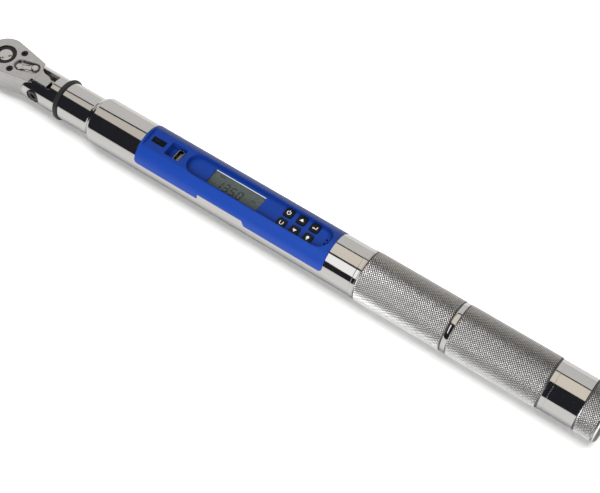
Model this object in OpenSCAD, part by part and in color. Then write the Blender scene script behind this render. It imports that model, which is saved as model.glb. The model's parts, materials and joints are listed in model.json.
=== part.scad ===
// Electronic torque wrench with a flex ratchet head, a chromed tube, a blue display housing
// and a knurled grip that holds three AA cells. It lies along X, head at -X, display up, on
// the end of its square drive and on its grip: z = 0 is that surface.

/* [Overall] */
// Length from the front of the head to the end of the battery cap
total_l = 438; // [430:1:446]
// Outer diameter of the chromed tube
tube_d = 30.5; // [30:0.1:31]
// Outer diameter of the knurled grip
grip_d = 31.8; // [31.6:0.1:32.4]
// Wall thickness of the tube behind its neck
tube_wall = 2.2; // [2:0.1:2.4]

/* [Head] */
// Radius of the round end of the ratchet head
head_r = 12.9; // [12.6:0.1:13.4]
// Thickness of the ratchet head with its cover
head_t = 17.8; // [17:0.1:18.4]
// Height of the head's top face above the tube's axis
head_top = 11.2; // [10.8:0.1:11.4]
// Width across the flats of the square drive
drive_w = 9.525; // [9.525]
// Distance from the drive's axis to the flex pivot
flex_l = 29.7; // [29.4:0.1:30.4]
// Number of teeth on the drive gear, a multiple of four
gear_teeth = 72; // [60:4:80]

/* [Yoke and neck] */
// Outer diameter of the forked yoke
yoke_d = 23.2; // [23:0.1:23.8]
// Width of the fork's slot
slot_w = 11.2; // [11:0.1:11.6]
// Outer diameter of the tube's neck
neck_d = 24.8; // [24.4:0.1:25.2]
// Length of the neck up to the flare
neck_l = 22.3; // [21:0.1:23]

/* [Display housing] */
// Length of the blue housing
housing_l = 135.4; // [134:0.2:136]
// Height of the housing's flat top above the tube's axis
flat_z = 13.7; // [13.5:0.1:13.9]
// Height of the sunken panel's floor above the tube's axis
floor_z = 10.4; // [10:0.1:10.6]
// Visible length of the display
lcd_l = 36.3; // [34:0.1:37]
// Visible width of the display
lcd_w = 10.9; // [10:0.1:11]
// Side of a square key
key_w = 5.9; // [5.6:0.1:6.6]
// Distance between key columns
key_pitch_x = 9.1; // [8.8:0.1:9.4]
// Distance between the two key rows
key_pitch_y = 8; // [7.8:0.1:8.2]

/* [Grip and cap] */
// Length of the knurled grip sleeve
grip_l = 118.5; // [117:0.5:119]
// Width of the smooth ring between the two knurled bands
ring_w = 3; // [2:0.5:4]
// Length of the smooth band behind the grip
band_l = 21.7; // [21:0.1:22.5]
// Length of the knurled cap outside the band
cap_l = 14.2; // [13:0.1:15]

/* [Hidden] */
$fn = 96;

// Heights
axis_z = grip_d / 2;
head_bottom = head_top - head_t;
cover_t = 2.4;
cover_z = head_top - cover_t;

// Stations along the tube, from the head to the cap
gear_x = -total_l / 2 + head_r;
pivot_x = gear_x + flex_l;
pivot_z = 1.6;
lever_x = gear_x + 17.9;
lever_recess_a = 15;
lever_swing = 12;
shoulder_x = 26;
seam_x = gear_x + 28.2;
lug_l = 8.4;
slot_root_x = pivot_x + 10.8;
seal_x = pivot_x + 19;
seal_r = 1.7;
tube_x0 = seal_x + seal_r;
flare_x = tube_x0 + neck_l;
flare_l = 4.6;
cap_x1 = total_l / 2;
cap_x0 = cap_x1 - cap_l;
band_x0 = cap_x0 - band_l;
grip_x0 = band_x0 - grip_l;
collar_l = 3;
housing_x0 = gear_x + 113.7;
housing_x1 = housing_x0 + housing_l;

// Radii
tube_r = tube_d / 2;
bore_r = tube_r - tube_wall;
grip_r = grip_d / 2;
sleeve_r = tube_r - 0.8;
neck_r = neck_d / 2;
neck_bore_r = 9.5;
yoke_r = yoke_d / 2;
ear_r = 9;
shoulder_w = 8.4;
tongue_w = slot_w / 2 - 0.2;
gear_r = 9.4;
gear_root_r = 8.9;
gear_hub_r = 4.85;
gear_base_r = 8;
ring_r = 7;
pivot_r = 3;
pin_gap = 0.05;
turn_gap = 0.1;

// Housing details, measured from its front end
rim_l = 1.7;
edge_z = 3.6;
housing_r = tube_r + 0.2;
window_x = housing_x0 + 9;
window_l = 9.6;
window_w = 4.4;
usb_x = housing_x0 + 16.2;
usb_l = 11.1;
usb_w = 10;
usb_floor = 8.6;
panel_x0 = housing_x0 + 31.1;
panel_x1 = housing_x1 - 3;
panel_w = 15;
lcd_x = housing_x0 + 65.6;
key_x = housing_x0 + 100.6;
sounder_x = housing_x0 + 130.2;
tab_x0 = housing_x0 + 47;
tab_l = 35;
tab_z = edge_z + 2.8;

// Board and what stands on it
board_z = 4.4;
board_t = 1.6;
board_w = 19.4;
board_top = board_z + board_t;
lens_z = 8.9;
lens_t = 0.7;
key_gap = 0.15;
key_travel = 0.5;
key_top = floor_z + 0.7;
switch_z = 7.2;
keys = [
    [0, 1], [1, 1], [2, 1],
    [0, -1], [1, -1], [2, -1]
];

// Battery column
cell_r = 7.25;
cell_l = 50.5;
cell_x0 = cap_x0 - 2.5 - 3 * cell_l;
liner_r = 12.4;
spigot_r = 12.4;
spigot_l = 9.5;

// Places a child at the tube's axis height
module on_axis() {
    translate([0, 0, axis_z]) children();
}

// A solid cylinder along X, from x0 to x1
module rod_x(x0, x1, r) {
    translate([x0, 0, 0]) rotate([0, 90, 0]) cylinder(h = x1 - x0, r = r);
}

// A cylinder along X at a height above the axis
module rod_x_at(x0, x1, z, r) {
    translate([0, 0, z]) rod_x(x0, x1, r);
}

// A cylinder along Y, from y0 to y1, through the given x and z
module rod_y(x, z, y0, y1, r) {
    translate([x, y0, z]) rotate([-90, 0, 0]) cylinder(h = y1 - y0, r = r);
}

// A box between two corners
module block(a, b) {
    translate(a) cube(b - a);
}

// A flat slot outline with round ends, along X, centred
module slot2d(l, w) {
    square([l - w, w], center = true);
    for (side = [-1, 1]) translate([side * (l - w) / 2, 0]) circle(d = w);
}

// A rectangle with round corners, centred
module rounded2d(l, w, r) {
    square([l - 2 * r, w], center = true);
    square([l, w - 2 * r], center = true);
    for (i = [-1, 1], j = [-1, 1]) translate([i * (l / 2 - r), j * (w / 2 - r)]) circle(r = r);
}

// A ring about X with a profile given as [x, radius] points
module turned(profile) {
    rotate([90, 0, 90]) rotate_extrude() polygon([for (p = profile) [p[1], p[0]]]);
}

// A wire coil along Z, its radius going from r0 to r1, made of one swept tube
module coil(r0, r1, h, wire, turns, sides = 6, steps = 14) {
    n = turns * steps;
    rings = [
        for (i = [0 : n])
            let (t = i / n, a = 360 * turns * t, r = r0 + (r1 - r0) * t, z = wire / 2 + (h - wire) * t)
            [for (k = [0 : sides - 1])
                let (b = 360 * k / sides, q = r + wire / 2 * cos(b))
                [q * cos(a), q * sin(a), z + wire / 2 * sin(b)]]
    ];
    points = [for (ring = rings) for (p = ring) p];
    last = n * sides;
    sides_faces = [
        for (i = [0 : n - 1], k = [0 : sides - 1])
            let (m = (k + 1) % sides, a = i * sides, b = a + sides)
            each [[a + k, b + k, b + m], [a + k, b + m, a + m]]
    ];
    start = [[for (k = [0 : sides - 1]) k]];
    end = [[for (k = [sides - 1 : -1 : 0]) last + k]];
    polyhedron(points, concat(sides_faces, start, end), convexity = 10);
}

// Plan outline of the head: a round end with tangent sides down to the shoulder
module head_plan() {
    reach = norm([shoulder_x, shoulder_w]);
    touch = atan2(shoulder_w, shoulder_x) + acos(head_r / reach);
    tip = [head_r * cos(touch), head_r * sin(touch)];
    circle(r = head_r);
    polygon([tip, [shoulder_x, shoulder_w], [shoulder_x, -shoulder_w], [tip.x, -tip.y]]);
}

// Plan outline of the lever's recess, wide enough for the lever to turn 12 degrees each way
module lever_recess_plan(rim = 0) {
    rotate(lever_recess_a) slot2d(17.2 + 2 * rim, 7.8 + 2 * rim);
}

// Scoops that clear the fork's ears on both sides of the tongue
module ear_clearance() {
    for (y0 = [-20, tongue_w]) rod_y(pivot_x, pivot_z, y0, y0 + 20 - tongue_w, ear_r + 0.5);
}

// Hollow in the tongue's far upper side
module tongue_relief() {
    translate([pivot_x, 0, 5.6]) linear_extrude(head_t) polygon([
        [-2.9, 6], [-2.1, 3.9], [0.5, 2.4], [5.1, 1.6], [lug_l + 1, -0.8], [lug_l + 1, 6]
    ]);
}

// Forged head: gear chamber, pawl pocket, and the lug that sits in the fork
module head_body() color("silver") on_axis() {
    difference() {
        union() {
            translate([gear_x, 0, head_bottom])
                linear_extrude(head_t - cover_t) head_plan();
            block([gear_x + shoulder_x - 1, -tongue_w, head_bottom], [pivot_x, tongue_w, cover_z]);
            block([seam_x + 0.02, -tongue_w, head_bottom], [pivot_x + lug_l, tongue_w, head_top]);
        }
        ear_clearance();
        tongue_relief();
        translate([gear_x, 0, head_bottom + 2.2]) cylinder(h = head_t, r = gear_r + 0.5);
        translate([gear_x, 0, head_bottom - 1]) cylinder(h = 4, r = gear_base_r + pin_gap);
        pawl_pocket();
        rod_y(pivot_x, pivot_z, -slot_w, slot_w, pivot_r + pin_gap);
        for (side = [-1, 1])
            translate([gear_x + 9.7, side * 7.15, cover_z - 6]) cylinder(h = 7, r = 1.2);
        rod_x_at(gear_x + 20.4, gear_x + 25, 2, 1.5);
    }
}

// Room for the pawl and the lever's shaft
module pawl_pocket() {
    translate([gear_x, 0, head_bottom + 2.2]) intersection() {
        cylinder(h = head_t, r = 14.6);
        translate([8.2, -5.6, 0]) cube([8, 11.2, head_t]);
    }
    translate([lever_x, 0, head_bottom + 2.2]) cylinder(h = head_t, r = 3.2);
}

// Cover over the gear chamber, with the recess for the lever
module head_cover() color("silver") on_axis() {
    difference() {
        union() {
            translate([gear_x, 0, cover_z + 0.02]) linear_extrude(cover_t - 0.02) head_plan();
            block([gear_x + shoulder_x - 1, -tongue_w, cover_z + 0.02], [seam_x, tongue_w, head_top]);
        }
        ear_clearance();
        tongue_relief();
        translate([gear_x, 0, cover_z - 1]) cylinder(h = 5, r = gear_hub_r + pin_gap);
        translate([gear_x, 0, head_top - 1.5]) cylinder(h = 3, r = ring_r + 0.2);
        translate([lever_x, 0, head_top - 1.6]) linear_extrude(3) lever_recess_plan();
        translate([lever_x, 0, head_top - 0.3]) linear_extrude(3) lever_recess_plan(0.3);
        translate([lever_x, 0, cover_z - 1]) cylinder(h = 3, r = 2.4 + pin_gap);
        for (side = [-1, 1]) translate([gear_x + 9.7, side * 7.15, 0]) {
            translate([0, 0, cover_z - 1]) cylinder(h = 5, r = 1.3);
            translate([0, 0, head_top - 1.4]) cylinder(h = 3, r = 2.2);
        }
    }
}

// Two small star-socket screws that hold the cover
module cover_screws() color("dimgray") on_axis() {
    for (side = [-1, 1]) translate([gear_x + 9.7, side * 7.15, 0]) difference() {
        union() {
            translate([0, 0, cover_z - 5.5]) cylinder(h = 7, r = 1.15);
            translate([0, 0, head_top - 1.35]) cylinder(h = 1.05, r = 2.05);
        }
        translate([0, 0, head_top - 1.1]) linear_extrude(2) star2d(1.25);
    }
}

// Six-lobed socket outline
module star2d(r) {
    circle(r = 0.72 * r);
    for (a = [0 : 60 : 300]) rotate(a) translate([0.7 * r, 0]) circle(r = 0.3 * r);
}

// Ratchet gear with its square drive below and its hub above
module drive_gear() color("gainsboro") on_axis() translate([gear_x, 0, 0]) {
    step = 360 / gear_teeth;
    teeth = [for (i = [0 : gear_teeth - 1]) each [
        gear_root_r * [cos(i * step), sin(i * step)],
        gear_r * [cos((i + 0.5) * step), sin((i + 0.5) * step)]
    ]];
    hub = [
        [0, 0], [gear_hub_r, 0], [gear_hub_r, head_top - 1.45], [4, head_top - 1.45],
        [4, head_top - 0.65], [4.4, head_top - 0.65], [4.4, head_top - 0.5],
        [3.6, head_top - 0.25], [2.4, head_top - 0.1], [0, head_top]
    ];
    difference() {
        union() {
            translate([0, 0, head_bottom + 2.3]) linear_extrude(cover_z - head_bottom - 2.5)
                polygon(teeth);
            translate([0, 0, head_bottom - 0.6]) cylinder(h = 4, r = gear_base_r);
            rotate_extrude() polygon(hub);
            drive_square();
        }
        detent_bore();
    }
}

// Square drive with a chamfered end
module drive_square() {
    lead = 0.9;
    half = drive_w / 2;
    side = [for (a = [-1, 1]) each [[a * half, -axis_z + lead], [a * (half - lead), -axis_z]]];
    outline = [side[0], side[1], side[3], side[2], [half, 0], [-half, 0]];
    intersection() {
        rotate([90, 0, 0]) linear_extrude(drive_w, center = true) polygon(outline);
        rotate([90, 0, 90]) linear_extrude(drive_w, center = true) polygon(outline);
    }
}

// Hole for the detent ball and its spring, open towards +X
module detent_bore() {
    rod_x_at(-3.4, drive_w, -axis_z + 5, 1.7);
}

// Black clip that keeps the gear in the head
module gear_retaining_ring() color("#1c1c1c") on_axis() translate([gear_x, 0, head_top - 1.4]) {
    difference() {
        cylinder(h = 0.7, r = ring_r);
        translate([0, 0, -1]) cylinder(h = 3, r = 4.05);
        translate([-8, -0.7, -1]) cube([5, 1.4, 3]);
        for (side = [-1, 1]) rotate(side * 17) translate([-5.6, 0, -1]) cylinder(h = 3, r = 0.5);
    }
}

// Ball that snaps into a socket's groove
module detent_ball() color("lightgray") on_axis() {
    translate([gear_x + drive_w / 2 - 1, 0, -axis_z + 5]) sphere(r = 1.65);
}

// Spring behind the ball
module detent_spring() color("gray") on_axis() {
    spring_x = gear_x - 3.3;
    translate([spring_x, 0, -axis_z + 5]) rotate([0, 90, 0])
        coil(1.15, 1.15, gear_x + drive_w / 2 - 1 - 1.2 - spring_x, 0.4, 6);
}

// Double-ended pawl, held against one side of the gear
module pawl() color("darkgray") on_axis() {
    pawl_z = head_bottom + 2.4;
    translate([lever_x, 0, pawl_z]) rotate(2) difference() {
        intersection() {
            translate([gear_x - lever_x, 0, 0]) difference() {
                cylinder(h = 11, r = 13.6);
                translate([0, 0, -1]) cylinder(h = 13, r = gear_r + 0.5);
            }
            translate([gear_x - lever_x + 8, -5, 0]) cube([8, 10, 11]);
        }
        translate([0, 0, -1]) cylinder(h = 13, r = 4.6);
    }
}

// Reverser: two polished buttons on a bar, and a shaft that carries the pawl's cam
module reverser_lever() color("gainsboro") on_axis() translate([lever_x, 0, 0]) {
    translate([0, 0, head_bottom + 2.6]) cylinder(h = cover_z - head_bottom - 1.7, r = 2.4);
    translate([0, 0, head_bottom + 2.6]) cylinder(h = 11, r = 3);
    rotate(lever_recess_a + lever_swing) translate([0, 0, head_top - 1.55]) {
        linear_extrude(0.8) square([9.8, 3], center = true);
        for (side = [-1, 1]) translate([side * 5, 0, 0]) {
            cylinder(h = 1.1, r = 2.4);
            translate([0, 0, 1.1]) cylinder(h = 0.4, r1 = 2.4, r2 = 1.8);
        }
    }
}

// Plunger that clicks the lever into either position
module reverser_plunger() color("gray") on_axis() {
    rod_x_at(lever_x + 3.1, lever_x + 5, 2, 1.4);
}

// Spring behind the plunger
module reverser_spring() color("gray") on_axis() {
    translate([lever_x + 5.05, 0, 2]) rotate([0, 90, 0]) coil(1, 1, 1.9, 0.35, 3);
}

// Screw that the head flexes about, threaded into the far ear
module pivot_screw() color("dimgray") on_axis() {
    difference() {
        union() {
            rod_y(pivot_x, pivot_z, -9.2, 9.6, pivot_r);
            rod_y(pivot_x, pivot_z, -11, -9.2, 4.3);
        }
        translate([pivot_x, -9.4, pivot_z]) rotate([90, 0, 0]) linear_extrude(3) star2d(2.3);
    }
}

// Wave washer between the screw's head and the fork
module pivot_washer() color("gray") on_axis() {
    difference() {
        rod_y(pivot_x, pivot_z, -9.2, -8.8, 4.4);
        rod_y(pivot_x, pivot_z, -10, -8, pivot_r + 0.1);
    }
}

// Forked yoke and the measuring beam behind it, one forging
module yoke_beam() color("silver") on_axis() {
    beam_x1 = flare_x + 24;
    difference() {
        union() {
            rod_x(pivot_x, seal_x - seal_r, yoke_r);
            intersection() {
                rod_x(pivot_x - 20, pivot_x + 1, yoke_r);
                rod_y(pivot_x, pivot_z, -20, 20, ear_r);
            }
            rod_x(seal_x - seal_r - 1, tube_x0, yoke_r - 1.6);
            rod_x(tube_x0 - 1, flare_x - 4, neck_bore_r - 0.1);
            block([flare_x - 6, -4, -7], [beam_x1, 4, 7]);
            rod_x(beam_x1 - 1, beam_x1 + 9, bore_r - 0.05);
        }
        block([pivot_x - 20, -slot_w / 2, -20], [slot_root_x, slot_w / 2, 20]);
        rod_y(pivot_x, pivot_z, -20, 20, pivot_r + 0.02);
        rod_y(pivot_x, pivot_z, -20, -8.8, 4.7);
        for (side = [-1, 1]) translate([0, side * 4.9, 3.2]) rod_x(beam_x1 - 2, beam_x1 + 10, 0.6);
        for (x = beam_pin_x()) translate([x, 0, -20]) cylinder(h = 40, r = 1.52);
    }
}

// Stations of the two pins that hold the beam in the tube
function beam_pin_x() = [flare_x + 26, flare_x + 30.5];

// Dowels through the beam's rear block and the tube's lower wall
module beam_pins() color("gray") on_axis() {
    for (x = beam_pin_x()) translate([x, 0, -tube_r + 0.6]) cylinder(h = bore_r + tube_r - 1.4, r = 1.5);
}

// Foil gauges bonded to the beam's two flats
module strain_gauges() color("orange") on_axis() {
    for (side = [-1, 1]) translate([flare_x + 8, side * 4.1, 0]) cube([9, 0.2, 5], center = true);
}

// Rubber ring that seals the neck against the yoke
module yoke_o_ring() color("#202020") on_axis() {
    profile_r = 1.65;
    translate([seal_x, 0, 0]) rotate([0, 90, 0])
        rotate_extrude() translate([yoke_r - 1.55 + profile_r + 0.35, 0]) circle(r = profile_r, $fn = 48);
}

// Chromed tube: neck, flare, body, and the trough that takes the housing
module main_tube() color("gainsboro") on_axis() {
    flare_steps = 10;
    flare = [for (i = [0 : flare_steps])
        let (t = i / flare_steps)
        [flare_x + flare_l * t, neck_r + (tube_r - neck_r) * (1 - cos(180 * t)) / 2]];
    outer = concat(
        [[tube_x0, neck_bore_r], [tube_x0, neck_r - 0.4], [tube_x0 + 0.4, neck_r]],
        flare,
        [[grip_x0 - collar_l, tube_r],
            [grip_x0 - collar_l, sleeve_r], [band_x0, sleeve_r]]);
    inner = [[band_x0, bore_r], [flare_x + 8, bore_r], [flare_x + 3, neck_bore_r]];
    difference() {
        turned(concat(outer, inner));
        difference() {
            trough(0);
            for (side = [-1, 1]) translate([0, side * tube_r, 0]) tube_tab();
        }
        for (x = housing_screw_x()) translate([x, 0, -20]) {
            cylinder(h = 10, r = 1.6);
            cylinder(h = 20 - tube_r + 1.2, r = 2.9);
        }
        for (x = beam_pin_x()) translate([x, 0, -20]) cylinder(h = 10, r = 1.52);
    }
}

// The housing's place in the tube, with its lower corners rounded, less a gap all round
module trough(gap) {
    r = 2.5;
    translate([0, 20, 0]) rotate([90, 0, 0]) linear_extrude(40) {
        translate([housing_x0 + gap, edge_z + r]) square([housing_l - 2 * gap, 20]);
        translate([housing_x0 + r, edge_z + gap]) square([housing_l - 2 * r, 20]);
        for (x = [housing_x0 + r, housing_x1 - r]) translate([x, edge_z + r]) circle(r = r - gap);
    }
}

// Raised tab on the trough's edge, with a sloped rear end
module tube_tab() {
    translate([tab_x0, 10, edge_z - 1]) rotate([90, 0, 0]) linear_extrude(20)
        polygon([[0, 0], [0, tab_z - edge_z + 1], [tab_l - 3, tab_z - edge_z + 1], [tab_l, 0]]);
}

// Blue housing: half round, flat on top, with the sunken panel and the sockets
module display_housing() color("royalblue") on_axis() {
    difference() {
        union() {
            intersection() {
                rod_x(housing_x0, housing_x1, housing_r);
                trough(0.05);
            }
            skirt();
        }
        block([housing_x0 + rim_l, -20, flat_z], [panel_x0 + panel_w / 2, 20, 20]);
        housing_hollow();
        panel_cut();
        window_cut();
        translate([usb_x + usb_l / 2, 0, usb_floor]) linear_extrude(20) rounded2d(usb_l, usb_w, 1.2);
        translate([usb_port_x(), 0, 0]) linear_extrude(20) rounded2d(4.5, 8.3, 0.6);
        translate([lcd_x, 0, 0]) linear_extrude(20) rounded2d(lcd_l, lcd_w, 0.5);
        translate([lcd_x, 0, 0]) linear_extrude(lens_z + lens_t) rounded2d(lcd_l + 3, lcd_w + 2, 0.5);
        for (k = keys) at_key(k) linear_extrude(20)
            rounded2d(key_w + 2 * key_gap, key_w + 2 * key_gap, 1.4);
        for (p = sounder_holes()) translate([p.x, p.y, 0]) cylinder(h = 20, r = 0.6, $fn = 24);
        for (side = [-1, 1]) translate([0, side * tube_r, 0]) tab_relief();
    }
    housing_bosses();
}

// Slightly larger copy of the tube's tab, cut out of the housing's edge
module tab_relief() {
    for (d = [-0.1, 0.1]) translate([d, 0, 0.1]) tube_tab();
}

// Two ribs inside the tube that locate the housing
module skirt() {
    intersection() {
        difference() {
            rod_x(housing_x0 + 2, housing_x1 - 2, bore_r - 0.05);
            rod_x(housing_x0, housing_x1, bore_r - 1.6);
        }
        block([housing_x0, -20, 0], [housing_x1, 20, edge_z + 1]);
    }
}

// Room for the board under the housing's top
module housing_hollow() {
    difference() {
        rod_x(housing_x0 + 2, housing_x1 - 2, bore_r - 1.5);
        block([housing_x0, -20, lens_z - 0.1], [housing_x1, 20, 20]);
        block([usb_x - 1.5, -20, usb_floor - 1], [usb_x + usb_l + 1.5, 20, 20]);
    }
}

// Sunken oval panel
module panel_cut() {
    translate([(panel_x0 + panel_x1) / 2, 0, floor_z])
        linear_extrude(10) slot2d(panel_x1 - panel_x0, panel_w);
}

// Slot for the indicator window
module window_cut() {
    translate([window_x, 0, flat_z - 1.3]) linear_extrude(20) rounded2d(window_l, window_w, 1);
    translate([window_x, 0, 0]) linear_extrude(20) rounded2d(window_l - 1.6, window_w - 1.6, 0.6);
}

// Stations of the screws that hold the housing, near its two ends
function housing_screw_x() = [housing_x0 + 36.5, housing_x0 + 91.2];

// Posts that reach the tube's bottom, and short ones that hold the board
module housing_bosses() {
    for (x = housing_screw_x()) translate([x, 0, 0]) difference() {
        translate([0, 0, -bore_r + 0.3]) cylinder(h = bore_r + lens_z, r = 3.1);
        translate([0, 0, -bore_r]) cylinder(h = 12, r = 1.3);
    }
    for (p = board_screws_at()) translate([p.x, p.y, board_top + 0.05]) difference() {
        cylinder(h = lens_z - board_top, r = 2);
        translate([0, 0, -1]) cylinder(h = 2.5, r = 1.15);
    }
}

// Centre of the connector in its recess
function usb_port_x() = usb_x + usb_l - 3.9;

// Moves a child to a key's place
module at_key(k) {
    translate([key_x + k[0] * key_pitch_x, k[1] * key_pitch_y / 2, 0]) children();
}

// Smoked window over the indicator light
module indicator_window() color("#202428") on_axis() {
    translate([window_x, 0, flat_z - 1.28]) linear_extrude(0.6)
        rounded2d(window_l - 0.1, window_w - 0.1, 0.95);
}

// Indicator light on the board
module indicator_led() color("white") on_axis() {
    translate([window_x + 2.4, 0, board_top]) cylinder(h = 5, r = 1.35);
}

// Clear lens over the display
module display_lens() color("lightgray") on_axis() {
    translate([lcd_x, 0, lens_z]) linear_extrude(lens_t - 0.02) rounded2d(lcd_l + 2.8, lcd_w + 1.8, 0.5);
}

// Display glass in its frame
module lcd_module() color("darkseagreen") on_axis() {
    translate([lcd_x, 0, board_top]) linear_extrude(lens_z - board_top - 0.15)
        square([lcd_l + 3.4, lcd_w + 3.4], center = true);
}

// Circuit board with clearance for the housing's posts
module circuit_board() color("darkgreen") on_axis() {
    board_l = housing_l - 5;
    difference() {
        translate([(housing_x0 + housing_x1) / 2, 0, board_z])
            linear_extrude(board_t) square([board_l, board_w], center = true);
        for (x = housing_screw_x()) translate([x, 0, 0]) cylinder(h = 20, r = 3.4);
        for (p = board_screws_at()) translate([p.x, p.y, 0]) cylinder(h = 20, r = 1.15);
    }
}

// Places of the board's own screws
function board_screws_at() = [for (x = [housing_x0 + 24, housing_x1 - 10], y = [-8, 8]) [x, y]];

// Screws that hold the board under the housing
module board_screws() color("gray") on_axis() {
    for (p = board_screws_at()) translate([p.x, p.y, board_z - 1]) {
        cylinder(h = 1, r = 1.9);
        cylinder(h = 3.6, r = 1.1);
    }
}

// Mini USB socket that stands on the board
module usb_port() color("silver") on_axis() {
    translate([usb_port_x(), 0, 0]) {
        difference() {
            translate([0, 0, board_top]) linear_extrude(11 - board_top) rounded2d(4.2, 8, 0.6);
            translate([0, 0, board_top + 1.2]) linear_extrude(10) rounded2d(3.5, 7.3, 0.4);
        }
        translate([0, 0, board_top + 1]) linear_extrude(2.2) square([1, 5.6], center = true);
    }
}

// Switches under the keys
module key_switches() color("#303030") on_axis() {
    for (k = keys) at_key(k) translate([0, 0, board_top]) {
        linear_extrude(0.6) square(4.5, center = true);
        cylinder(h = switch_z - board_top, r = 1.6);
    }
}

// One key cap with a retaining flange under the panel
module key_cap(k) {
    at_key(k) {
        translate([0, 0, switch_z + key_travel + 0.1])
            linear_extrude(key_top - switch_z - key_travel - 0.1) rounded2d(key_w, key_w, 1.3);
        translate([0, 0, switch_z + key_travel + 0.1])
            linear_extrude(0.8) rounded2d(key_w + 0.7, key_w + 0.7, 1.3);
    }
}

module key_power() color("#181818") on_axis() key_cap(keys[0]);
module key_up() color("#181818") on_axis() key_cap(keys[1]);
module key_enter() color("#181818") on_axis() key_cap(keys[2]);
module key_units() color("#181818") on_axis() key_cap(keys[3]);
module key_down() color("#181818") on_axis() key_cap(keys[4]);
module key_light() color("#181818") on_axis() key_cap(keys[5]);

// Places of the sounder's holes: one in the middle and four around it
function sounder_holes() =
    concat([[sounder_x, 0]], [for (a = [45 : 90 : 315]) [sounder_x, 0] + 2 * [cos(a), sin(a)]]);

// Sounder disc on the board
module buzzer() color("#252525") on_axis() {
    translate([sounder_x - 1, 0, board_top]) linear_extrude(1.9) rounded2d(6, 6, 1);
}

// Screws from below that hold the housing in the tube
module housing_screws() color("dimgray") on_axis() {
    for (x = housing_screw_x()) translate([x, 0, -tube_r + 0.35]) difference() {
        union() {
            cylinder(h = 0.8, r = 2.7);
            cylinder(h = 9, r = 1.25);
        }
        translate([0, 0, -1]) linear_extrude(1.5) star2d(1.4);
    }
}

// Leads from the gauges to the board
module gauge_wires() color("firebrick") on_axis() {
    for (side = [-1, 1]) translate([0, side * 4.9, 3.2])
        rod_x(flare_x + 10, housing_x0 + 6, 0.45);
}

// Leads from the board to the front battery contact
module battery_wires() color("firebrick") on_axis() {
    for (side = [-1, 1]) translate([0, side * 3, 1.5]) rod_x(housing_x1 - 30, cell_x0 - 4.2, 0.5);
}

// Plastic liner that holds the cells on the tube's axis
module battery_liner() color("#282828") on_axis() {
    liner_x0 = cell_x0 - 4;
    liner_x1 = cap_x0 - spigot_l - 1;
    flange_l = 3;
    difference() {
        union() {
            rod_x(liner_x0, liner_x1, cell_r + 1.6);
            for (x = [liner_x0, (liner_x0 + liner_x1) / 2, liner_x1 - flange_l])
                rod_x(x, x + flange_l, liner_r);
        }
        rod_x(cell_x0 - 2, cap_x0, cell_r + 0.35);
        rod_x(cell_x0 - 5, cell_x0, 3.5);
    }
}

// Contact plate at the front of the cells
module front_contact() color("goldenrod") on_axis() {
    rod_x(cell_x0 - 1.9, cell_x0 - 1.2, 6.6);
    rod_x(cell_x0 - 1.3, cell_x0 - 0.05, 2);
    rod_x(cell_x0 - 4.1, cell_x0 - 1.8, 3.2);
}

// One AA cell with its positive button towards the front
module cell(i) {
    x0 = cell_x0 + i * cell_l;
    rod_x(x0 + 1.1, x0 + cell_l, cell_r);
    rod_x(x0 + 0.02, x0 + 1.2, 2.7);
}

module battery_1() color("#30343c") on_axis() cell(0);
module battery_2() color("#30343c") on_axis() cell(1);
module battery_3() color("#30343c") on_axis() cell(2);

// Grip sleeve: two bands to be knurled, with a smooth ring between them
module grip_sleeve() color("lightgray") on_axis() {
    bevel = 0.5;
    ring_x = grip_x0 + (grip_l - ring_w) / 2;
    low = grip_r - 0.45;
    turned([
        [grip_x0, sleeve_r], [grip_x0, grip_r - bevel], [grip_x0 + bevel, grip_r],
        [ring_x, grip_r], [ring_x, low], [ring_x + ring_w, low], [ring_x + ring_w, grip_r],
        [band_x0 - bevel, grip_r], [band_x0, grip_r - bevel], [band_x0, sleeve_r]
    ]);
}

// Thin collar in front of the grip
module grip_collar() color("gainsboro") on_axis() {
    collar_r = tube_r + 0.3;
    turned([
        [grip_x0 - collar_l, sleeve_r], [grip_x0 - collar_l, collar_r - 0.3],
        [grip_x0 - collar_l + 0.3, collar_r], [grip_x0 - 0.6, collar_r],
        [grip_x0 - 0.6, collar_r - 0.3], [grip_x0, collar_r - 0.3], [grip_x0, sleeve_r]
    ]);
}

// Smooth band that closes the tube and takes the cap's thread
module end_band() color("gainsboro") on_axis() {
    band_r = grip_r - 0.6;
    line_x = band_x0 + 3.2;
    turned([
        [band_x0 - 14, spigot_r + 0.3], [band_x0 - 14, bore_r - 0.02], [band_x0, bore_r - 0.02],
        [band_x0, band_r - 0.3], [band_x0 + 0.3, band_r], [line_x, band_r],
        [line_x, band_r - 0.25], [line_x + 0.4, band_r - 0.25], [line_x + 0.4, band_r],
        [cap_x0 - 0.3, band_r], [cap_x0, band_r - 0.3], [cap_x0, spigot_r + turn_gap],
        [band_x0 + 5, spigot_r + turn_gap], [band_x0 + 5, liner_r + 0.1], [band_x0 - 2, liner_r + 0.1]
    ]);
}

// Rubber seal under the cap's shoulder
module cap_seal() color("#202020") on_axis() {
    translate([cap_x0 + 0.9, 0, 0]) rotate([0, 90, 0])
        rotate_extrude() translate([spigot_r + 0.95, 0]) circle(r = 0.75, $fn = 32);
}

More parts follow.
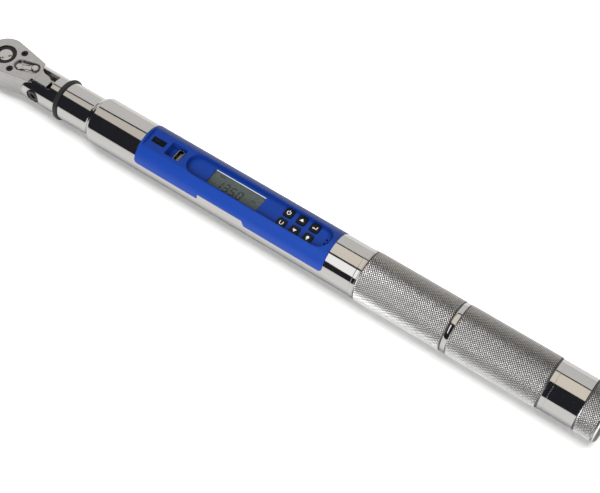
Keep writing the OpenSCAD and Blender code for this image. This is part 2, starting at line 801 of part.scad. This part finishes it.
// Knurled battery cap with a threaded spigot
module battery_cap() color("lightgray") on_axis() {
    cap_r = grip_r;
    round_l = 2.6;
    steps = 6;
    nose = [for (i = [0 : steps])
        let (a = 90 * i / steps)
        [cap_x1 - round_l + round_l * sin(a), cap_r - round_l + round_l * cos(a)]];
    turned(concat(
        [[cap_x0 - spigot_l, 8], [cap_x0 - spigot_l, spigot_r - 0.6],
            [cap_x0 - spigot_l + 0.6, spigot_r], [cap_x0, spigot_r], [cap_x0 + 1.7, spigot_r],
            [cap_x0 + 1.7, cap_r - 1.4], [cap_x0 + 0.15, cap_r - 1.4], [cap_x0 + 0.15, cap_r - 0.3],
            [cap_x0 + 0.45, cap_r]],
        nose,
        [[cap_x1, 0], [cap_x0 + 4, 0], [cap_x0 + 4, 8]]));
}

// Conical contact spring in the cap
module battery_spring() color("silver") on_axis() {
    spring_x1 = cap_x0 + 3.98;
    spring_l = spring_x1 - (cell_x0 + 3 * cell_l + 0.1);
    translate([spring_x1, 0, 0]) rotate([0, -90, 0]) coil(6.6, 3.4, spring_l, 0.9, 3);
}

head_body();
head_cover();
cover_screws();
drive_gear();
gear_retaining_ring();
detent_ball();
detent_spring();
pawl();
reverser_lever();
reverser_plunger();
reverser_spring();
pivot_screw();
pivot_washer();
yoke_beam();
beam_pins();
strain_gauges();
yoke_o_ring();
main_tube();
display_housing();
indicator_window();
indicator_led();
display_lens();
lcd_module();
circuit_board();
usb_port();
key_switches();
key_power();
key_up();
key_enter();
key_units();
key_down();
key_light();
buzzer();
housing_screws();
board_screws();
gauge_wires();
battery_wires();
battery_liner();
front_contact();
battery_1();
battery_2();
battery_3();
grip_sleeve();
grip_collar();
end_band();
cap_seal();
battery_cap();
battery_spring();
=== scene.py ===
import json
import math

import bmesh
import bpy
from mathutils import Matrix, Vector


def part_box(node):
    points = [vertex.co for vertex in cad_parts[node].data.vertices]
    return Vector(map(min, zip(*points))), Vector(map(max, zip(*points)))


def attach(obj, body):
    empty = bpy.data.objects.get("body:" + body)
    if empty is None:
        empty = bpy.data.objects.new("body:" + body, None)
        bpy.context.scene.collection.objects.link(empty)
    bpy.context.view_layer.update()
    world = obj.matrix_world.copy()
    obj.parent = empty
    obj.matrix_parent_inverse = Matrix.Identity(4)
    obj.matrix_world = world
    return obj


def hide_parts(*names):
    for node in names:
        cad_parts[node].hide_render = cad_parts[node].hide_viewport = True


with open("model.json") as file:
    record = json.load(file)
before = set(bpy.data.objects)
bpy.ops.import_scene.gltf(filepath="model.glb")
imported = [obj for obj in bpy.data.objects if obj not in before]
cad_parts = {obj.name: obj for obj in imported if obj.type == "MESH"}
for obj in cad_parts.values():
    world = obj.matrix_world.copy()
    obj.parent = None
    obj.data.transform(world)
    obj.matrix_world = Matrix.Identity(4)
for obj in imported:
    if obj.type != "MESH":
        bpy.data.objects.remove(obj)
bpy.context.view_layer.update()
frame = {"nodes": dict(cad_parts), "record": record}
NODES = frame["nodes"]
BODY = {n: b for b, ns in frame["record"]["behaviour"]["bodies"].items() for n in ns}
MM = 0.001

# ---------------------------------------------------------------- stations from the CAD

lo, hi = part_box("grip_sleeve")
AXIS = (lo.z + hi.z) / 2
GRIP_X0, GRIP_X1 = lo.x, hi.x
GRIP_R = (hi.z - lo.z) / 2
CAP_X0, CAP_X1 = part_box("end_band")[1].x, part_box("battery_cap")[1].x
SPIGOT_X0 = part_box("battery_cap")[0].x
DEPTH = 0.5 * MM  # of the knurl
COLS = 128  # knurl points round the grip, counting the hollows too
STEP = 2 * math.pi * GRIP_R / COLS

# ---------------------------------------------------------------- materials

# how far the painted shade in tight corners reaches
CREVICE_SHADE_REACH = 0.0025
GRAIN_HEIGHT = 0.0002


def material(name, colour, metal=0.0, rough=0.4, rough_var=0.06, grain=900.0, bump=0.0,
             bump_scale=1500.0, stretch=(1, 1, 1), tint=0.06, alpha=1.0, spec=0.5,
             edge=0.0, crevice_shade=0.0, groove_shade=None):
    """A procedural finish: mottled colour and roughness, a fine grain bump, and eased edges.

    crevice is how much painted shade darkens tight corners and recesses. groove is (axis height,
    low radius, high radius, dark level): painted shade in the knurl's hollows, the colour going
    from dark at the low radius to full at the high one."""
    m = bpy.data.materials.new(name)
    m.use_nodes = True
    nt = m.node_tree
    nt.nodes.clear()
    new, link = nt.nodes.new, nt.links.new
    out = new("ShaderNodeOutputMaterial")
    bsdf = new("ShaderNodeBsdfPrincipled")
    link(bsdf.outputs[0], out.inputs[0])
    bsdf.inputs["Metallic"].default_value = metal
    bsdf.inputs["Specular IOR Level"].default_value = spec
    bsdf.inputs["Alpha"].default_value = alpha
    where = new("ShaderNodeTexCoord")
    mapping = new("ShaderNodeMapping")
    mapping.inputs["Scale"].default_value = stretch
    link(where.outputs["Object"], mapping.inputs[0])

    def noise(scale, detail=4.0):
        n = new("ShaderNodeTexNoise")
        n.inputs["Scale"].default_value = scale
        n.inputs["Detail"].default_value = detail
        link(mapping.outputs[0], n.inputs["Vector"])
        return n

    def ramp(src, lo, hi, a, b):
        """src taken from lo..hi to a..b, and held at both ends."""
        r = new("ShaderNodeMapRange")
        r.inputs["From Min"].default_value = lo
        r.inputs["From Max"].default_value = hi
        r.inputs["To Min"].default_value = a
        r.inputs["To Max"].default_value = b
        link(src, r.inputs["Value"])
        return r.outputs[0]

    mottle = noise(grain / 6, 5)
    cr = new("ShaderNodeValToRGB")
    cr.color_ramp.elements[0].position = 0.3
    cr.color_ramp.elements[1].position = 0.7
    cr.color_ramp.elements[0].color = (*[c * (1 - tint) for c in colour[:3]], 1)
    cr.color_ramp.elements[1].color = (*[min(1, c * (1 + tint)) for c in colour[:3]], 1)
    link(mottle.outputs["Fac"], cr.inputs[0])
    tone = cr.outputs[0]

    def shade(factor):
        """The tone so far, multiplied by factor."""
        mix = new("ShaderNodeMix")
        mix.data_type = "RGBA"
        mix.blend_type = "MULTIPLY"
        mix.inputs["Factor"].default_value = 1
        link(tone, mix.inputs["A"])
        link(factor, mix.inputs["B"])
        return mix.outputs["Result"]

    # painted shade: ambient occlusion darkens the colour in tight corners and recesses
    if crevice_shade:
        near = new("ShaderNodeAmbientOcclusion")
        near.samples = 4
        near.inputs["Distance"].default_value = CREVICE_SHADE_REACH
        tone = shade(ramp(near.outputs["AO"], 0.25, 0.85, 1 - crevice_shade, 1.0))
    # painted shade: the colour darkens towards the knurl's hollows, by distance from the grip's
    # axis
    if groove_shade:
        shift = new("ShaderNodeVectorMath")
        shift.operation = "MULTIPLY_ADD"
        shift.inputs[1].default_value = (0, 1, 1)
        shift.inputs[2].default_value = (0, 0, -groove_shade[0])
        link(where.outputs["Object"], shift.inputs[0])
        length = new("ShaderNodeVectorMath")
        length.operation = "LENGTH"
        link(shift.outputs[0], length.inputs[0])
        tone = shade(ramp(length.outputs["Value"], groove_shade[1], groove_shade[2], groove_shade[3], 1.0))
    link(tone, bsdf.inputs["Base Color"])
    fine = noise(grain, 6)
    link(ramp(fine.outputs["Fac"], 0.3, 0.7, max(0.02, rough - rough_var), rough + rough_var),
         bsdf.inputs["Roughness"])
    height = noise(bump_scale, 3).outputs["Fac"] if bump else None
    rounded = None
    if edge:
        rounded = new("ShaderNodeBevel")
        rounded.samples = 6
        rounded.inputs["Radius"].default_value = edge
    if height is None and rounded is not None:
        link(rounded.outputs[0], bsdf.inputs["Normal"])
    if height is not None:
        b = new("ShaderNodeBump")
        if rounded is not None:
            link(rounded.outputs[0], b.inputs["Normal"])
        b.inputs["Strength"].default_value = max(bump, 0.02)
        b.inputs["Distance"].default_value = GRAIN_HEIGHT
        link(height, b.inputs["Height"])
        link(b.outputs[0], bsdf.inputs["Normal"])
    return m


CHROME = material("chrome_plate", (0.63, 0.62, 0.61), 1, 0.06, 0.025, grain=700, tint=0.02,
                  bump=0.012, bump_scale=260, stretch=(0.25, 1, 1), edge=0.0002)
# the satin head's colour carries painted shade in its corners and recesses
SATIN = material("satin_forging", (0.56, 0.55, 0.54), 1, 0.16, 0.04, grain=1500, tint=0.04,
                 bump=0.02, bump_scale=900, edge=0.0004, crevice_shade=0.75)
# the knurl's colour carries painted shade in its hollows
KNURL = material("knurl_plate", (0.93, 0.92, 0.915), 1, 0.4, 0.05, grain=1600, tint=0.04,
                 bump=0.04, bump_scale=2500,
                 groove_shade=(AXIS, GRIP_R - 0.85 * DEPTH, GRIP_R - 0.25 * DEPTH, 0.16))
DARK = material("black_oxide", (0.035, 0.035, 0.037), 0.8, 0.34, 0.08, grain=1500, tint=0.15,
                bump=0.06, bump_scale=2000)
# the blue housing's colour carries painted shade in its corners and recesses
BLUE = material("blue_moulding", (0.008, 0.045, 0.29), 0, 0.36, 0.05, grain=1400, tint=0.03,
                bump=0.06, bump_scale=3200, spec=0.3, edge=0.0002, crevice_shade=0.5)
BLACK = material("black_moulding", (0.006, 0.006, 0.007), 0, 0.5, 0.07, grain=1400, tint=0.1,
                 bump=0.08, bump_scale=3000, spec=0.22)
RUBBER = material("black_rubber", (0.014, 0.014, 0.015), 0, 0.5, 0.08, grain=1100, tint=0.12,
                  bump=0.1, bump_scale=2600)
SMOKED = material("smoked_window", (0.006, 0.007, 0.009), 0, 0.1, 0.03, grain=600, tint=0.1)
LENS = material("clear_lens", (0.3, 0.32, 0.3), 0, 0.08, 0.03, grain=500, tint=0.02, alpha=0.06)
LCD = material("lcd_glass", (0.062, 0.085, 0.078), 0, 0.4, 0.04, grain=1500, tint=0.05,
               bump=0.02, bump_scale=6000)
INK = material("lcd_segment", (0.006, 0.008, 0.008), 0, 0.6, 0.05, grain=2000, tint=0.08,
               spec=0.1)
# white for the key symbols' print, and for the painted highlight on the lens edge
WHITE_PRINT_AND_HIGHLIGHT = material("white_print_and_painted_highlight", (0.96, 0.96, 0.95), 0, 0.35, 0.05, grain=1500, tint=0.03)
BOARD = material("circuit_board", (0.02, 0.13, 0.05), 0, 0.4, 0.08, grain=800, tint=0.2,
                 bump=0.1, bump_scale=900)
GOLD = material("gold_contact", (0.75, 0.55, 0.24), 1, 0.2, 0.06, grain=900, tint=0.05,
                bump=0.03, bump_scale=900)
FOIL = material("foil_gauge", (0.7, 0.42, 0.16), 1, 0.3, 0.06, grain=2500, tint=0.2,
                bump=0.1, bump_scale=2500)
WIRE = material("red_wire", (0.5, 0.03, 0.025), 0, 0.42, 0.06, grain=1200, tint=0.08,
                bump=0.04, bump_scale=1500)
WRAP = material("cell_wrap", (0.05, 0.06, 0.08), 0.1, 0.3, 0.06, grain=700, tint=0.15,
                bump=0.03, bump_scale=900)
LED = material("led_resin", (0.85, 0.86, 0.82), 0, 0.2, 0.05, grain=900, tint=0.04)
SPRING = material("spring_wire", (0.6, 0.6, 0.59), 1, 0.22, 0.06, grain=900, tint=0.05,
                  bump=0.04, bump_scale=1200)

FINISH = {
    "satin_steel": SATIN, "chrome_steel": CHROME, "knurled_steel": KNURL, "dark_steel": DARK,
    "blue_plastic": BLUE, "black_plastic": BLACK, "black_rubber": RUBBER,
    "smoked_window": SMOKED, "clear_lens": LENS, "lcd_glass": LCD, "circuit_green": BOARD,
    "led_white": LED, "gold_contact": GOLD, "foil_gauge": FOIL, "wire_red": WIRE,
    "cell_wrap": WRAP,
}
OWN = {  # nodes whose finish is not the one their slot usually has
    "detent_spring": SPRING, "reverser_spring": SPRING, "battery_spring": SPRING,
    "drive_gear": CHROME, "reverser_lever": CHROME, "detent_ball": CHROME,
}


def paint(obj, mat):
    obj.data.materials.clear()
    obj.data.materials.append(mat)


NODE_SLOT = {p["node"]: p["material_slot"] for p in frame["record"]["subparts"]}
for n, o in NODES.items():
    paint(o, OWN.get(n, FINISH[NODE_SLOT[n]]))

# ---------------------------------------------------------------- geometry helpers


def piece(name, mesh, node_or_body, mat, replaces=()):
    """A visual piece that moves with a node's body."""
    obj = bpy.data.objects.new(name, mesh)
    bpy.context.scene.collection.objects.link(obj)
    paint(obj, mat)
    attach(obj, BODY.get(node_or_body, node_or_body))
    if replaces:
        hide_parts(*replaces)
    return obj


def soften(node, width, angle=28.0, segments=2):
    """The CAD shape with edges sharper than angle (degrees) rounded by width (mm)."""
    mesh = NODES[node].data.copy()
    bm = bmesh.new()
    bm.from_mesh(mesh)
    bmesh.ops.remove_doubles(bm, verts=bm.verts, dist=2e-6)
    bmesh.ops.dissolve_limit(bm, angle_limit=math.radians(0.4), verts=bm.verts, edges=bm.edges)
    edges = [e for e in bm.edges
             if e.is_manifold and e.calc_face_angle(0) > math.radians(angle)]
    bmesh.ops.bevel(bm, geom=edges, offset=width * MM, segments=segments, profile=0.5,
                    affect="EDGES", clamp_overlap=False)
    for f in bm.faces:
        f.smooth = True
    bm.to_mesh(mesh)
    bm.free()
    mesh.set_sharp_from_angle(angle=math.radians(60))
    obj = piece(node + "_finished", mesh, node, OWN.get(node, FINISH[NODE_SLOT[node]]),
                (node,))
    w = obj.modifiers.new("even_normals", "WEIGHTED_NORMAL")
    w.keep_sharp = True
    return obj


def lathe(name, rows, flat_rows=()):
    """A grid of COLS columns wrapped round the grip's axis.

    Each row is (x, radius), and a radius may be a function of the row and the column. Rows in
    flat_rows are cut into flat triangles, so that every knurl point has four crisp sides."""
    verts, faces, flat = [], [], []
    for i, (x, radius) in enumerate(rows):
        for j in range(COLS):
            a = 2 * math.pi * j / COLS
            r = radius(i, j) if callable(radius) else radius
            verts.append((x, r * math.cos(a), AXIS + r * math.sin(a)))
    for i in range(len(rows) - 1):
        for j in range(COLS):
            k = (j + 1) % COLS
            a, b = i * COLS + j, i * COLS + k
            c, d = b + COLS, a + COLS
            if i in flat_rows:
                if (i + j) % 2 == 0:
                    faces += [(a, d, b), (d, c, b)]
                else:
                    faces += [(a, d, c), (a, c, b)]
                flat += [True, True]
            else:
                faces.append((a, d, c, b))
                flat.append(False)
    mesh = bpy.data.meshes.new(name)
    mesh.from_pydata(verts, [], faces)
    for p, f in zip(mesh.polygons, flat):
        p.use_smooth = not f
    mesh.update()
    mesh.set_sharp_from_angle(angle=math.radians(40))
    return mesh


def plates(name, outlines, z0, z1):
    """Thin upright prisms from plan outlines."""
    bm = bmesh.new()
    for pts in outlines:
        low = [bm.verts.new((x, y, z0)) for x, y in pts]
        top = [bm.verts.new((x, y, z1)) for x, y in pts]
        bm.faces.new(low[::-1])
        bm.faces.new(top)
        for i in range(len(pts)):
            j = (i + 1) % len(pts)
            bm.faces.new((low[i], low[j], top[j], top[i]))
    bmesh.ops.recalc_face_normals(bm, faces=bm.faces)
    mesh = bpy.data.meshes.new(name)
    bm.to_mesh(mesh)
    bm.free()
    return mesh


# ---------------------------------------------------------------- knurled sleeve and cap

RING_X0 = (GRIP_X0 + GRIP_X1) / 2 - 1.5 * MM
RING_X1 = (GRIP_X0 + GRIP_X1) / 2 + 1.5 * MM
SLEEVE_R = GRIP_R - 1.45 * MM  # its bore
RING_R = GRIP_R - 0.4 * MM


def knurl_rows(x0, x1):
    """Rows of points and hollows between x0 and x1, a little lower at both ends."""
    n = max(2, round((x1 - x0) / STEP))
    rows = []
    for k in range(n + 1):
        x = x0 + (x1 - x0) * k / n
        edge = min(x - x0, x1 - x) / MM
        top = GRIP_R - max(0.0, 0.35 - 0.7 * edge) * MM
        rows.append((x, lambda i, j, top=top: top - (DEPTH if (i + j) % 2 else 0.0)))
    return rows


def join_rows(parts):
    """All rows in one list, and the numbers of those that are knurled."""
    rows, flat = [], set()
    for kind, part in parts:
        base = len(rows)
        rows += part
        if kind == "knurl":
            flat |= set(range(base, base + len(part) - 1))
    return rows, flat


rows, flat = join_rows([
    ("plain", [(GRIP_X0, SLEEVE_R), (GRIP_X0, GRIP_R - 0.75 * MM),
               (GRIP_X0 + 0.2 * MM, GRIP_R - 0.55 * MM)]),
    ("knurl", knurl_rows(GRIP_X0 + 0.4 * MM, RING_X0 - 0.15 * MM)),
    ("plain", [(RING_X0, GRIP_R - 0.5 * MM), (RING_X0 + 0.15 * MM, GRIP_R - 0.42 * MM),
               (RING_X1 - 0.15 * MM, GRIP_R - 0.42 * MM), (RING_X1, GRIP_R - 0.5 * MM)]),
    ("knurl", knurl_rows(RING_X1 + 0.15 * MM, GRIP_X1 - 0.4 * MM)),
    ("plain", [(GRIP_X1 - 0.2 * MM, GRIP_R - 0.55 * MM), (GRIP_X1, GRIP_R - 0.75 * MM),
               (GRIP_X1, SLEEVE_R), (GRIP_X0, SLEEVE_R)]),
])
mesh = lathe("grip_knurl", rows, flat)
knurled = [piece("grip_knurl", mesh, "grip_sleeve", KNURL, ("grip_sleeve",))]

# the smooth ring between the two knurled bands
rows = [(RING_X0, SLEEVE_R), (RING_X0, RING_R - 0.1 * MM), (RING_X0 + 0.15 * MM, RING_R),
        (RING_X1 - 0.15 * MM, RING_R), (RING_X1, RING_R - 0.1 * MM), (RING_X1, SLEEVE_R),
        (RING_X0, SLEEVE_R)]
piece("grip_ring", lathe("grip_ring", rows), "grip_sleeve", CHROME)

# the cap: closed nose, knurled band, shoulder, and a threaded spigot
NOSE_R = 2.6 * MM
SPIGOT_R = 12.4 * MM
SPIGOT_BORE = 8 * MM
PITCH = 1.5 * MM
THREAD_DEPTH = 0.42 * MM
THREAD_STEP = 0.25
ALMOST_AXIS = 0.01 * MM
nose = [(CAP_X1 - NOSE_R + NOSE_R * math.sin(a), GRIP_R - NOSE_R + NOSE_R * math.cos(a))
        for a in [math.radians(15 * k) for k in range(1, 7)]]


def thread(x):
    """The helical thread's radius at x, as a function of the row and the column."""
    def radius(i, j):
        t = (x / PITCH + j / COLS) % 1.0
        return SPIGOT_R - THREAD_DEPTH * (1 - abs(2 * t - 1))
    return radius


thread_rows = int((CAP_X0 - SPIGOT_X0) / (THREAD_STEP * MM)) - 4
thread_x = [SPIGOT_X0 + (0.8 + THREAD_STEP * k) * MM for k in range(thread_rows)]
rows, flat = join_rows([
    ("plain", [(CAP_X0 + 4 * MM, ALMOST_AXIS), (CAP_X0 + 4 * MM, SPIGOT_BORE),
               (SPIGOT_X0, SPIGOT_BORE), (SPIGOT_X0, SPIGOT_R - 0.7 * MM)]),
    ("plain", [(x, thread(x)) for x in thread_x]),
    ("plain", [(CAP_X0 + 1.7 * MM, SPIGOT_R - 0.1 * MM), (CAP_X0 + 1.7 * MM, GRIP_R - 1.4 * MM),
               (CAP_X0 + 0.15 * MM, GRIP_R - 1.4 * MM), (CAP_X0 + 0.15 * MM, GRIP_R - 0.6 * MM)]),
    ("knurl", knurl_rows(CAP_X0 + 0.5 * MM, CAP_X1 - 2.7 * MM)),
    ("plain", [(CAP_X1 - 2.55 * MM, GRIP_R - 0.35 * MM)] + [(x, r - 0.02 * MM) for x, r in nose]
     + [(CAP_X1, ALMOST_AXIS)]),
])
mesh = lathe("cap_knurl", rows, flat)
knurled.append(piece("cap_knurl", mesh, "battery_cap", KNURL, ("battery_cap",)))

# ---------------------------------------------------------------- rounded edges on CAD shapes

KEYS = ["key_power", "key_up", "key_enter", "key_units", "key_down", "key_light"]
soften("reverser_lever", 0.3)
soften("indicator_window", 0.12)
for node in KEYS:
    soften(node, 0.3)

# ---------------------------------------------------------------- display

lens_lo, lens_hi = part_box("display_lens")
WINDOW_L, WINDOW_W = 36.3 * MM, 10.9 * MM
WINDOW_X0 = (lens_lo.x + lens_hi.x) / 2 - WINDOW_L / 2
WINDOW_Y0 = -WINDOW_W / 2
WINDOW_Y1 = WINDOW_Y0 + WINDOW_W
INK_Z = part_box("lcd_module")[1].z + 0.01 * MM
PRINT_T = 0.03 * MM  # thickness of the display's figures, and half that of the symbols
SEGMENTS = {"0": "abcdef", "1": "bc", "3": "abcdg", "5": "acdfg"}


def segment(kind, w, h, t):
    """A six-sided bar of a seven-segment digit, in the digit's own frame."""
    def bar(x0, y0, x1, y1):
        if y0 == y1:
            return [(x0 + t * 0.1, y0), (x0 + t * 0.6, y0 + t / 2), (x1 - t * 0.6, y0 + t / 2),
                    (x1 - t * 0.1, y0), (x1 - t * 0.6, y0 - t / 2), (x0 + t * 0.6, y0 - t / 2)]
        return [(x0, y0 + t * 0.1), (x0 + t / 2, y0 + t * 0.6), (x0 + t / 2, y1 - t * 0.6),
                (x0, y1 - t * 0.1), (x0 - t / 2, y1 - t * 0.6), (x0 - t / 2, y0 + t * 0.6)]
    m = h / 2
    return {"a": bar(0, h, w, h), "b": bar(w, m, w, h), "c": bar(w, 0, w, m),
            "d": bar(0, 0, w, 0), "e": bar(0, 0, 0, m), "f": bar(0, m, 0, h),
            "g": bar(0, m, w, m)}[kind]


def digits(text, x, y, w, h, t, gap, lean=0.12):
    """Outlines of a row of leaning digits, with bars t thick."""
    shapes = []
    for ch in text:
        if ch == ".":
            cx = x - gap * 0.5
            shapes.append(rect(cx - t / 2, y - t / 2, cx + t / 2, y + t / 2))
            continue
        for s in SEGMENTS[ch]:
            shapes.append([(x + px + lean * py, y + py) for px, py in segment(s, w, h, t)])
        x += w + gap
    return shapes


def rect(x0, y0, x1, y1):
    """The outline of a rectangle."""
    return [(x0, y0), (x1, y0), (x1, y1), (x0, y1)]


def legend(x0, y0, x1, y1):
    """A plain bar on the display, in millimetres from the window's corner."""
    return rect(WINDOW_X0 + x0 * MM, WINDOW_Y0 + y0 * MM, WINDOW_X0 + x1 * MM,
                WINDOW_Y0 + y1 * MM)


shapes = digits("135.0", WINDOW_X0 + 5.4 * MM, WINDOW_Y0 + 1.1 * MM, 2.9 * MM, 5.2 * MM,
                0.72 * MM, 1.9 * MM)
shapes += [legend(29.6, 4.2, 31.0, 4.7), legend(29.6, 5.2, 31.0, 5.7),
           legend(31.6, 4.2, 32.2, 5.7)]
shapes += [legend(4.0 + 1.3 * k, 8.6, 4.9 + 1.3 * k, 9.4) for k in range(3)]
piece("display_digits", plates("display_digits", shapes, INK_Z, INK_Z + PRINT_T), "lcd_module",
      INK)

# a thin white bar along the lens's far edge: a painted highlight of its bright cut edge
highlight_strip = rect(WINDOW_X0 + 0.2 * MM, WINDOW_Y1 - 0.42 * MM,
             WINDOW_X0 + WINDOW_L - 0.2 * MM, WINDOW_Y1 - 0.04 * MM)
piece("painted_lens_highlight", plates("painted_lens_highlight", [highlight_strip], lens_hi.z - 0.02 * MM, lens_hi.z + 0.16 * MM),
      "display_lens", WHITE_PRINT_AND_HIGHLIGHT)

# ---------------------------------------------------------------- key symbols

STROKE = 0.42 * MM


def on_circle(cx, cy, r, a):
    """The point of a circle at a degrees."""
    return cx + r * math.cos(math.radians(a)), cy + r * math.sin(math.radians(a))


def arc(cx, cy, r, t, a0, a1, steps=20):
    """Outlines that fill an arc of mean radius r and thickness t, from a0 to a1 degrees."""
    angles = [a0 + (a1 - a0) * k / steps for k in range(steps + 1)]
    outer = [on_circle(cx, cy, r + t / 2, a) for a in angles]
    inner = [on_circle(cx, cy, r - t / 2, a) for a in angles]
    return [[outer[k], outer[k + 1], inner[k + 1], inner[k]] for k in range(steps)]


def symbol(node):
    """Outlines of a key's symbol, about the middle of the key."""
    lo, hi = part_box(node)
    cx, cy = (lo.x + hi.x) / 2, (lo.y + hi.y) / 2

    def at(x, y):
        return cx + x * MM, cy + y * MM

    def bar(x0, y0, x1, y1):
        return rect(*at(x0, y0), *at(x1, y1))

    if node == "key_power":
        return arc(cx, cy, 1.15 * MM, STROKE, 125, 415) + [bar(-0.2, 0.3, 0.2, 1.7)]
    if node == "key_up":
        return [[at(-1.3, -0.75), at(1.3, -0.75), at(0, 1.15)]]
    if node == "key_down":
        return [[at(-1.3, 0.75), at(0, -1.15), at(1.3, 0.75)]]
    if node == "key_enter":
        return [bar(0.9, -0.6, 1.35, 1.1), bar(-0.9, -0.82, 1.35, -0.38),
                [at(-1.6, -0.6), at(-0.6, -1.3), at(-0.6, 0.1)]]
    if node == "key_units":
        return arc(*at(0, -0.2), MM, STROKE, 180, 360) + [bar(-1.21, -0.2, -0.79, 1.1),
                                                          bar(0.79, -0.2, 1.21, 1.1)]
    bulb = [on_circle(*at(0, 0.3), 0.95 * MM, a) for a in range(-50, 231, 20)]
    return [bulb + [at(-0.4, -1.0), at(0.4, -1.0)], bar(-0.4, -1.5, 0.4, -1.15)]


for node in KEYS:
    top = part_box(node)[1].z
    piece(node + "_symbol",
          plates(node + "_symbol", symbol(node), top - PRINT_T, top + PRINT_T),
          node, WHITE_PRINT_AND_HIGHLIGHT)

# ---------------------------------------------------------------- floor, light and camera


def floor(name, z, shade):
    """A large grey plane at height z."""
    bm = bmesh.new()
    bmesh.ops.create_grid(bm, x_segments=4, y_segments=4, size=4)
    mesh = bpy.data.meshes.new(name)
    bm.to_mesh(mesh)
    bm.free()
    obj = bpy.data.objects.new(name, mesh)
    bpy.context.scene.collection.objects.link(obj)
    obj.location.z = z
    paint(obj, material(name, (shade,) * 3, 0, 0.7, 0.03, grain=60, tint=0.01, spec=0.1))
    return obj


def card(name, corners, colour, strength):
    """A glowing card that only shows in reflections."""
    mesh = bpy.data.meshes.new(name)
    mesh.from_pydata(corners, [], [tuple(range(len(corners)))])
    obj = bpy.data.objects.new(name, mesh)
    bpy.context.scene.collection.objects.link(obj)
    m = bpy.data.materials.new(name)
    m.use_nodes = True
    m.node_tree.nodes.clear()
    out = m.node_tree.nodes.new("ShaderNodeOutputMaterial")
    e = m.node_tree.nodes.new("ShaderNodeEmission")
    e.inputs[0].default_value = (*colour, 1)
    e.inputs[1].default_value = strength
    m.node_tree.links.new(e.outputs[0], out.inputs[0])
    m.cycles.emission_sampling = "NONE"
    mesh.materials.append(m)
    obj.visible_camera = False
    obj.visible_diffuse = False
    obj.visible_shadow = False


def area(name, place, target, size, watts, colour=(1, 1, 1), lit=None, unlit=None,
         mirrored=False):
    """A rectangular lamp. It lights only lit, or all but unlit, or everything."""
    data = bpy.data.lights.new(name, "AREA")
    data.shape = "RECTANGLE"
    data.size, data.size_y = size
    data.energy = watts
    data.color = colour
    obj = bpy.data.objects.new(name, data)
    bpy.context.scene.collection.objects.link(obj)
    obj.location = place
    obj.rotation_euler = (Vector(target) - Vector(place)).to_track_quat("-Z", "Y").to_euler()
    obj.visible_glossy = mirrored
    obj.visible_camera = False
    if lit or unlit:
        group = bpy.data.collections.new(name + "_receivers")
        for o in lit or unlit:
            group.objects.link(o)
        for entry in group.collection_objects:
            entry.light_linking.link_state = "INCLUDE" if lit else "EXCLUDE"
        obj.light_linking.receiver_collection = group


seen = floor("pale_floor", 0.0, 0.86)
seen.visible_glossy = False
seen.visible_shadow = False
reflected = floor("floor_in_reflections", -0.0002, 0.50)
reflected.visible_camera = False
reflected.visible_diffuse = False
floors = [seen, reflected]
card("overhead_softbox",
     [(-0.45, -0.32, 1.0), (1.2, -0.34, 1.0), (1.2, 0.60, 1.0), (-0.45, 0.56, 1.0)],
     (1.0, 0.93, 0.80), 0.92)
card("head_softbox",
     [(-0.95, -0.14, 1.0), (-0.7, -0.28, 1.0), (-0.45, -0.32, 1.0), (-0.45, 0.56, 1.0),
      (-0.95, 0.02, 1.0)],
     (1.0, 0.94, 0.84), 0.74)
card("far_wall",
     [(-3.0, 0.10, 1.0), (-1.0, 0.10, 1.0), (-0.5, 0.70, 1.0), (3.0, 0.78, 1.0),
      (3.0, 2.6, 0.02), (-3.0, 2.6, 0.02)],
     (1.0, 0.985, 0.97), 0.74)
card("near_card",
     [(-0.42, -0.43, 0.9), (-0.10, -0.43, 0.9), (-0.10, -1.5, 0.75), (-0.42, -1.5, 0.75)],
     (1.0, 1.0, 1.0), 1.3)
WARM = (1.0, 0.99, 0.97)
area("top_light", (0.45, 0.15, 0.9), (0.05, 0, 0), (0.6, 0.6), 5, WARM, unlit=floors)
area("near_light", (0.1, -1.2, 0.9), (0, 0, 0), (1.6, 0.8), 29, unlit=floors)
area("floor_light", (0.0, 0.25, 1.3), (0, 0, 0), (1.6, 1.3), 43, WARM, lit=floors)
area("floor_fill", (0.1, -1.2, 0.9), (0, 0, 0), (1.6, 0.8), 18, lit=floors)
area("grip_light", (0.25, -1.15, 0.42), (0.12, 0, 0), (1.2, 0.9), 36, lit=knurled,
     mirrored=True)

world = bpy.data.worlds.new("studio")
bpy.context.scene.world = world
world.use_nodes = True
world.node_tree.nodes["Background"].inputs[0].default_value = (0.022, 0.023, 0.028, 1)
world.node_tree.nodes["Background"].inputs[1].default_value = 1.0

cam = bpy.data.cameras.new("camera")
cam.lens = 75.2
cam.sensor_width = 36
eye = bpy.data.objects.new("camera", cam)
bpy.context.scene.collection.objects.link(eye)
eye.location = (0.2402, -0.3103, 0.6350)
right = Vector((0.8213, 0.5704, -0.0083))
forward = Vector((-0.3010, 0.4210, -0.8556)).normalized()
right = (right - forward * right.dot(forward)).normalized()
up = right.cross(forward)
basis = Matrix((right, up, -forward)).transposed()
eye.rotation_euler = basis.to_euler()
bpy.context.scene.camera = eye
bpy.context.scene.view_settings.view_transform = "Standard"
